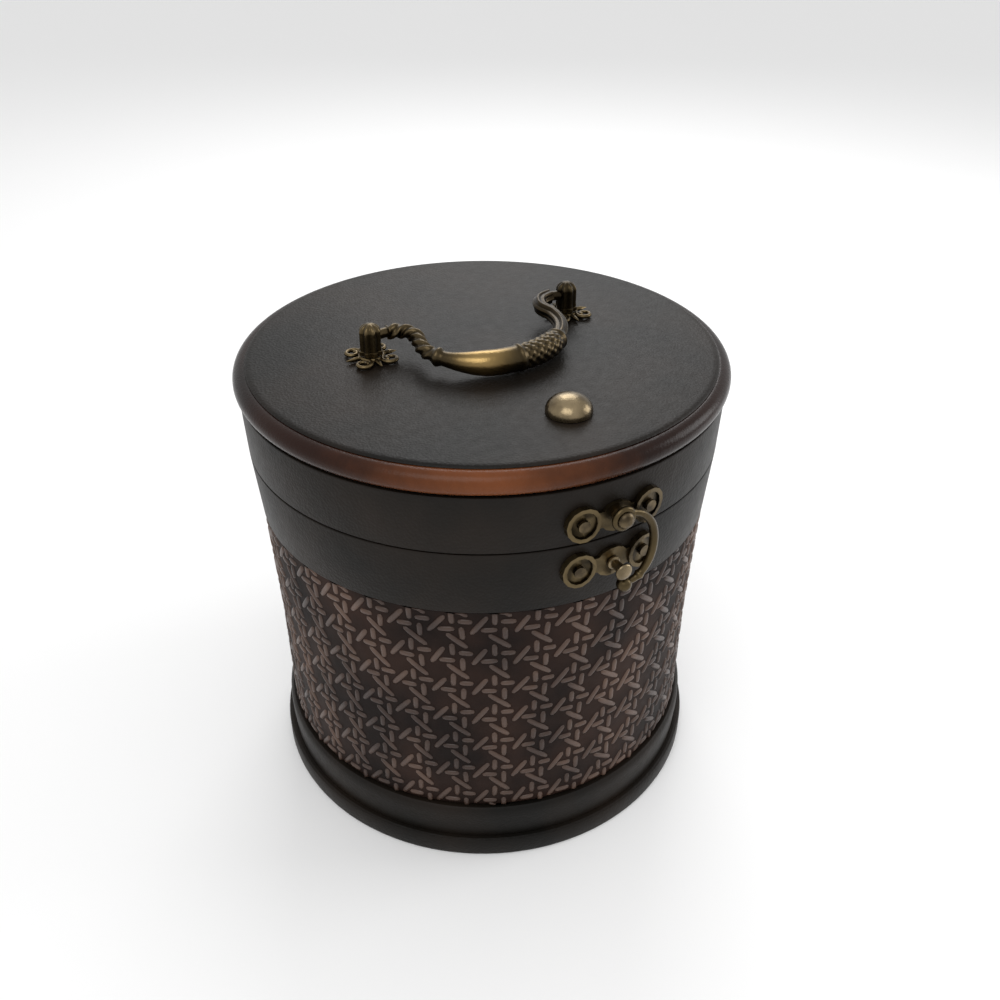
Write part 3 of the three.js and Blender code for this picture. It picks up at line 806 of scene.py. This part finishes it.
@dataclass
class Lid:
    """The lid: board with its rounded edge, panel, skirt, linings and the domed stud."""

    radius: float = 100.0
    panel_radius: float = 93.5
    stud_y: float = -65.7
    stud_radius: float = 8.7
    stud_height: float = 6.6
    stud_brim: float = 0.7

    def build(self, dresser: Dresser) -> None:
        """Builds and dresses the lid's turned pieces.

        Args:
            dresser: the material maker.
        """
        half = (BOARD_TOP_Z - BOARD_LOW_Z) / 2
        turn = np.linspace(-np.pi / 2, np.pi / 2, 25)
        middle = BOARD_LOW_Z + half
        rim = [(self.radius - half + half * math.cos(a), middle + half * math.sin(a)) for a in turn]
        board = [(0, BOARD_LOW_Z), *rim, (0, BOARD_TOP_Z)]
        dresser.fit(revolve("rounded_lid_board", board, False), Body.LID, LID_EDGE, "lid_board")
        r = self.panel_radius
        panel = [(0, BOARD_TOP_Z + GAP), (r + 1.4, BOARD_TOP_Z + GAP), (r + 1.0, LID_FACE_Z - 0.35)]
        panel += [(r, LID_FACE_Z - 0.03), (r - 1.2, LID_FACE_Z), (0, LID_FACE_Z)]
        dresser.fit(revolve("lid_face", panel, False), Body.LID, LEATHERETTE, "lid_panel")
        skirt = Carcass().band(SEAM_Z + GAP, BOARD_LOW_Z - GAP, 0, -SKIN - CORE)
        dresser.fit(revolve("skirt_skin", skirt, True), Body.LID, LEATHERETTE, "lid_skirt")
        inside = -SKIN - CORE - GAP
        lining = Carcass().band(SEAM_Z + LINING_DROP, BOARD_LOW_Z - GAP, inside, inside - LINING_THICKNESS)
        dresser.fit(revolve("skirt_cloth", lining, True), Body.LID, LINING, "skirt_lining")
        high = BOARD_LOW_Z - GAP
        reach = float(wall_radius(SEAM_Z)) + inside - LINING_THICKNESS - 2 * GAP
        bolts = [(side * Handle.post_x, Handle.post_y) for side in (-1, 1)]
        pad = cushion("ceiling_cushion", reach, high, high - PAD_THICKNESS, bolts)
        dresser.fit(pad, Body.LID, LINING, "ceiling_pad")
        self.stud(dresser)

    def stud(self, dresser: Dresser) -> None:
        """A dome of a quarter ellipse on a thin flange, moved to its place on the lid.

        Args:
            dresser: the material maker.
        """
        z = LID_FACE_Z + GAP
        a = np.linspace(0, np.pi / 2, 24)
        brim = z + self.stud_brim
        rise = self.stud_height - self.stud_brim
        dome = [(self.stud_radius * math.cos(v), brim + rise * math.sin(v)) for v in a[:-1]]
        profile = [(0, z), (self.stud_radius, z), *dome, (0, z + self.stud_height)]
        piece = revolve("dome_stud", profile, False, 96)
        piece.data.transform(Matrix.Translation((0, self.stud_y * MM, 0)))
        dresser.fit(piece, Body.LID, BRASS, "top_stud")


@dataclass
class Handle:
    """The bail and its two fluted posts."""

    post_x: float = 45.0
    post_y: float = 8.5
    post_height: float = 15.0
    post_radius: float = 4.0
    pivot: float = 9.5
    drop: float = 37.0
    belly_lift: float = 5.6
    line: tuple = (
        (-43.6, 0), (-37, -0.6), (-31.5, 1.2), (-28.6, 6.5), (-29.6, 13), (-29.8, 19), (-24, 28.5),
        (-12.5, 35.6), (0, 37), (12.5, 35.2), (22.5, 29.8), (28.6, 22), (30.2, 13.5), (28.8, 6.2),
        (31.5, 1.2), (37, -0.6), (43.6, 0),
    )

    def section(self, t: Array, a: Array) -> Array:
        """Section radius: pin ends, rope-twist arm, collar, swelling horn, engraved belly and ribbed arm.

        Args:
            t: share along the bail.
            a: angle round it.

        Returns:
            The radius in millimetres.
        """
        def rise(low: float, high: float) -> Array:
            """Smooth step between two shares."""
            u = np.clip((t - low) / (high - low), 0, 1)
            return u * u * (3 - 2 * u)

        def bead(at: float, width: float) -> Array:
            """Bell-shaped collar at a share."""
            return np.exp(-(((t - at) / width) ** 2))

        body = 2.7 + 2.3 * rise(0.26, 0.42) - 2.3 * rise(0.62, 0.7)
        collars = 1.1 * bead(0.27, 0.01) + 1.0 * bead(0.665, 0.01) + 0.5 * bead(0.505, 0.006)
        rope = 0.42 * np.cos(3 * (a + 60 * t)) * (1 - rise(0.24, 0.26))
        floral = 0.28 * np.cos(9 * a) * np.cos(260 * t) * rise(0.51, 0.52) * (1 - rise(0.645, 0.655))
        ribs = 0.34 * np.cos(6 * a + 20 * t) * rise(0.68, 0.7)
        ends = np.minimum(t, 1 - t)
        full = np.maximum(2.0, body + collars + rope + floral + ribs)
        return np.where(ends < 0.045, 2.0, full)

    def build(self, dresser: Dresser) -> None:
        """Builds the bail and the posts.

        Args:
            dresser: the material maker.
        """
        fall = (self.pivot - self.belly_lift) / self.drop
        line = [(x, self.post_y - d, LID_FACE_Z + self.pivot - fall * d) for x, d in self.line]
        bail = swept("ornate_bail", [tube(line, self.section, 420, 72)])
        dresser.fit(bail, Body.BAIL, HORN, "bail_handle")
        for side, word in ((-1, "left"), (1, "right")):
            self.plate(side * self.post_x, word, dresser)
            self.post(side * self.post_x, word, dresser)

    def plate(self, x: float, word: str, dresser: Dresser) -> None:
        """Openwork plate: a ring, four corner scrolls whose reach shrinks evenly as they curl, four leaves.

        Args:
            x: its place across the lid.
            word: left or right.
            dresser: the material maker.
        """
        level = LID_FACE_Z + GAP + 1.0
        centre = np.array([x, self.post_y, level])

        def arc(angle: Array, reach: Array) -> Array:
            """Level points at an angle and a reach."""
            return np.stack([reach * np.cos(angle), reach * np.sin(angle), 0 * angle], -1)

        def taper(t: Array, a: Array) -> Array:
            """Scroll thickness, with a round bead at its inner end."""
            return np.minimum(1.0, 1.0 - 0.3 * t + 0.32 * np.exp(-(((t - 0.95) / 0.05) ** 2)))

        def leaf(t: Array, a: Array) -> Array:
            """Leaf thickness: swells to its middle and closes to a tip."""
            return np.clip(np.sin(np.pi * (0.12 + 0.85 * t)) * (1 + 0.12 * np.cos(3 * a)), 0.12, 1.0)

        turn = np.linspace(0, 2.5 * np.pi, 22)
        tubes = []
        for corner in range(4):
            way = math.radians(45 + 90 * corner)
            sign = 1 if corner % 2 else -1
            eye = centre + 8.0 * np.array([math.cos(way), math.sin(way), 0])
            curl = eye + arc(way + np.pi + sign * turn, 3.5 - 2.3 * turn / turn[-1])
            tubes.append(tube(curl, taper, 60, 12))
            side = way + np.pi / 4
            stem = centre + arc(np.full(4, side), np.array([3.0, 5.4, 8.0, 10.6]))
            tubes.append(tube(stem, leaf, 20, 12))
        round_line = np.linspace(0, 2 * np.pi, 25)
        hub = centre + arc(round_line, np.full(25, 4.4))
        tubes.append(tube(hub, lambda t, a: 0.95 + 0 * t, 72, 12))
        dresser.fit(swept("scroll_plate_" + word, tubes), Body.LID, BRONZE, "handle_plate_" + word)

    def post(self, x: float, word: str, dresser: Dresser) -> None:
        """A fluted post with a domed top.

        Args:
            x: its place across the lid.
            word: left or right.
            dresser: the material maker.
        """
        foot = LID_FACE_Z + 2 * GAP + 2
        top = LID_FACE_Z + self.post_height
        line = [(x, self.post_y, foot), (x, self.post_y + 1e-4, (foot + top) / 2), (x, self.post_y, top)]

        def section(t: Array, a: Array) -> Array:
            """Flutes round a collar and a dome that closes as a quarter circle."""
            dome = np.sqrt(np.clip(1 - (np.maximum(t - 0.72, 0) / 0.281) ** 2, 0.004, 1))
            collar = 1 + 0.12 * (t < 0.12)
            return self.post_radius * dome * collar * (1 + 0.1 * np.cos(8 * a))

        post = swept("fluted_post_" + word, [tube(line, section, 60, 96)])
        dresser.fit(post, Body.LID, BRONZE, "handle_post_" + word)


@dataclass
class Latch:
    """What moves and holds on the front: the swing hook, its domed rivet and the keeper's knob."""

    hook_z: float = 172.0
    keeper_z: float = 150.5
    depth: float = 103.14
    eye_radius: float = 3.7
    eye_wire: float = 1.2
    arm: tuple = (
        (3.4, 1.6), (8, -0.6), (12.4, -6), (14, -13.5), (12.8, -21.5), (8.6, -27.6), (3.4, -29.4),
    )
    tip: tuple[float, float] = (2.4, -29.6)
    tip_radius: float = 2.9
    rivet: tuple = (
        (0, 98.3), (2.6, 98.3), (2.6, 101.4), (1.75, 101.4), (1.75, 104.3), (3.2, 104.3), (3.2, 104.7),
        (2.9, 105.4), (2.2, 106.1), (1.2, 106.5), (0, 106.6),
    )
    knob: tuple = (
        (0, 97.0), (1.75, 97.0), (1.75, 98.6), (2.5, 98.9), (2.5, 99.6), (1.75, 100.0), (1.75, 104.3),
        (2.8, 104.7), (3.3, 105.2), (3.4, 105.7), (3.2, 106.2), (2.6, 106.6), (1.4, 106.8), (0, 106.85),
    )

    def front(self, name: str, profile: tuple, z: float) -> bpy.types.Object:
        """Turns a profile of (radius, depth before the axis) and points it out of the front at a height.

        Args:
            name: the piece's name.
            profile: its profile.
            z: its height.

        Returns:
            The piece.
        """
        made = revolve(name, profile, False, 72)
        made.data.transform(Matrix.Translation((0, 0, z * MM)) @ Matrix.Rotation(math.pi / 2, 4, "X"))
        return made

    def build(self, dresser: Dresser) -> None:
        """Builds and dresses the three pieces.

        Args:
            dresser: the material maker.
        """
        turn = np.linspace(0, 2 * np.pi, 25)
        eye = np.stack([self.eye_radius * np.cos(turn), 0 * turn, self.eye_radius * np.sin(turn)], -1)
        arm = [(x, 0.0, z) for x, z in self.arm]
        reach = self.tip_radius
        ball = [(self.tip[0] + s * reach, 0.0, self.tip[1]) for s in (-0.99, 0.0, 0.99)]

        def swell(t: Array, a: Array) -> Array:
            """Arm thickness: fullest at its middle, with a small collar near the tip."""
            return 1.25 + 0.4 * np.sin(np.pi * t) + 0.5 * np.exp(-(((t - 0.86) / 0.02) ** 2))

        def dome(t: Array, a: Array) -> Array:
            """Ball: r = R (1 - (2t - 1)^2)^(1/2)."""
            return reach * np.sqrt(np.clip(1 - (0.99 * (2 * t - 1)) ** 2, 0.01, 1))

        tubes = [
            tube(eye, lambda t, a: self.eye_wire + 0 * t, 72, 20),
            tube(arm, swell, 90, 20),
            tube(ball, dome, 24, 24),
        ]
        place = np.array([0.0, -self.depth, self.hook_z])
        hook = swept("swing_hook", [(points + place, faces) for points, faces in tubes])
        dresser.fit(hook, Body.HOOK, BRONZE, "latch_hook")
        dresser.fit(self.front("domed_rivet", self.rivet, self.hook_z), Body.LID, SCREW, "latch_rivet")
        dresser.fit(self.front("keeper_knob", self.knob, self.keeper_z), Body.BOX, BRASS, "keeper_stud")


@dataclass
class Studio:
    """Camera at the photograph's angle, floor, lamps and world."""

    focal_pixels: float = 1013.3
    image_pixels: float = 1000.0
    distance: float = 0.4771
    elevation: float = 37.67
    azimuth: float = -28.0
    aim: tuple[float, float] = (484.34, 569.85)
    aim_height: float = 0.08
    roll: float = -0.535
    sensor: float = 36.0

    def camera(self) -> None:
        """Places the camera so that the aim point lands on its pixel, with the photograph's small roll."""
        el = math.radians(self.elevation)
        az = math.radians(self.azimuth)
        back = Vector((math.sin(az) * math.cos(el), -math.cos(az) * math.cos(el), math.sin(el)))
        right = Vector((math.cos(az), math.sin(az), 0))
        up = back.cross(right)
        roll = math.radians(self.roll)
        right, up = (
            right * math.cos(roll) + up * math.sin(roll),
            up * math.cos(roll) - right * math.sin(roll),
        )
        half = self.image_pixels / 2
        pan = math.atan((self.aim[0] - half) / self.focal_pixels)
        tilt = math.atan((self.aim[1] - half) / self.focal_pixels)
        ahead = -back
        ahead, right = (
            ahead * math.cos(pan) - right * math.sin(pan),
            right * math.cos(pan) + ahead * math.sin(pan),
        )
        ahead, up = (
            ahead * math.cos(tilt) + up * math.sin(tilt),
            up * math.cos(tilt) - ahead * math.sin(tilt),
        )
        place = back * self.distance + Vector((0, 0, self.aim_height))
        lens = bpy.data.cameras.new("camera")
        lens.sensor_width = self.sensor
        lens.lens = self.focal_pixels / self.image_pixels * self.sensor
        lens.clip_start = 0.01
        shot = bpy.data.objects.new("camera", lens)
        turn = Matrix((right, up, -ahead)).transposed().to_4x4()
        shot.matrix_world = Matrix.Translation(place) @ turn
        bpy.context.scene.collection.objects.link(shot)
        bpy.context.scene.camera = shot

    def lamp(self, name: str, place: tuple[float, float, float], size: float, power: float) -> None:
        """A square soft lamp that looks at the box.

        Args:
            name: its name.
            place: where it hangs.
            size: its side.
            power: its power in watts.
        """
        light = bpy.data.lights.new(name, "AREA")
        light.size = size
        light.energy = power
        made = bpy.data.objects.new(name, light)
        made.location = place
        made.rotation_euler = (Vector((0, 0, 0.1)) - Vector(place)).to_track_quat("-Z", "Y").to_euler()
        bpy.context.scene.collection.objects.link(made)

    def floor(self) -> None:
        """A wide pale floor, slightly domed away at its far edge so that it isn't a bare plane."""
        side = np.linspace(-1, 1, 41)
        x, y = np.meshgrid(side * 3, side * 3, indexing="ij")
        z = -0.00002 * (x**2 + y**2)
        points = np.stack([x, y, z], -1).reshape(-1, 3) / MM
        made = add_mesh("floor", points, grid_faces(41, 41, False, False)[:, ::-1].tolist())
        surface = bpy.data.materials.new("pale_floor")
        surface.use_nodes = True
        shader = surface.node_tree.nodes["Principled BSDF"]
        shader.inputs["Base Color"].default_value = (0.93, 0.93, 0.93, 1)
        shader.inputs["Roughness"].default_value = 0.6
        made.data.materials.append(surface)

    def world(self) -> None:
        """A plain world that is white to the camera and soft grey light to the rest."""
        world = bpy.data.worlds.new("studio")
        bpy.context.scene.world = world
        world.use_nodes = True
        tree = world.node_tree
        ground = tree.nodes["Background"]
        ground.inputs["Color"].default_value = (1, 1, 1, 1)
        path = tree.nodes.new("ShaderNodeLightPath")
        seen = tree.nodes.new("ShaderNodeMath")
        seen.operation = "MAXIMUM"
        tree.links.new(path.outputs["Is Camera Ray"], seen.inputs[0])
        tree.links.new(path.outputs["Is Transmission Ray"], seen.inputs[1])
        strength = tree.nodes.new("ShaderNodeMapRange")
        strength.inputs["To Min"].default_value = 0.8
        strength.inputs["To Max"].default_value = 1.0
        tree.links.new(seen.outputs[0], strength.inputs["Value"])
        tree.links.new(strength.outputs["Result"], ground.inputs["Strength"])

    def build(self) -> None:
        """Builds the studio."""
        self.camera()
        self.floor()
        self.world()
        self.lamp("key", (-0.5, -0.5, 1.1), 0.7, 4)
        self.lamp("back", (0.5, 0.8, 0.9), 0.6, 4)
        self.lamp("side", (0.95, -0.3, 0.5), 0.5, 3)
        bpy.context.scene.view_settings.view_transform = "Standard"


def dress_cad_nodes(dresser: Dresser) -> None:
    """Paints the CAD nodes that stay in view by their record slot.

    Args:
        dresser: the material maker.
    """
    by_slot = {f.slot: f for f in (LEATHERETTE, LID_EDGE, CANE, LINING, BOARD, BRONZE, BRASS)}
    for part in frame["record"]["subparts"]:
        finish = SCREW if "screw" in part["node"] else by_slot[part["material_slot"]]
        dresser.paint(frame["nodes"][part["node"]], finish)


def main() -> None:
    """Builds the box in order."""
    logging.basicConfig(level=logging.INFO)
    dresser = Dresser(grain_group(), spot_group())
    dress_cad_nodes(dresser)
    Carcass().build(dresser)
    WovenWrap().build(dresser)
    Lid().build(dresser)
    Handle().build(dresser)
    Latch().build(dresser)
    Studio().build()
    bpy.context.view_layer.update()


if __name__ == "__main__":
    main()
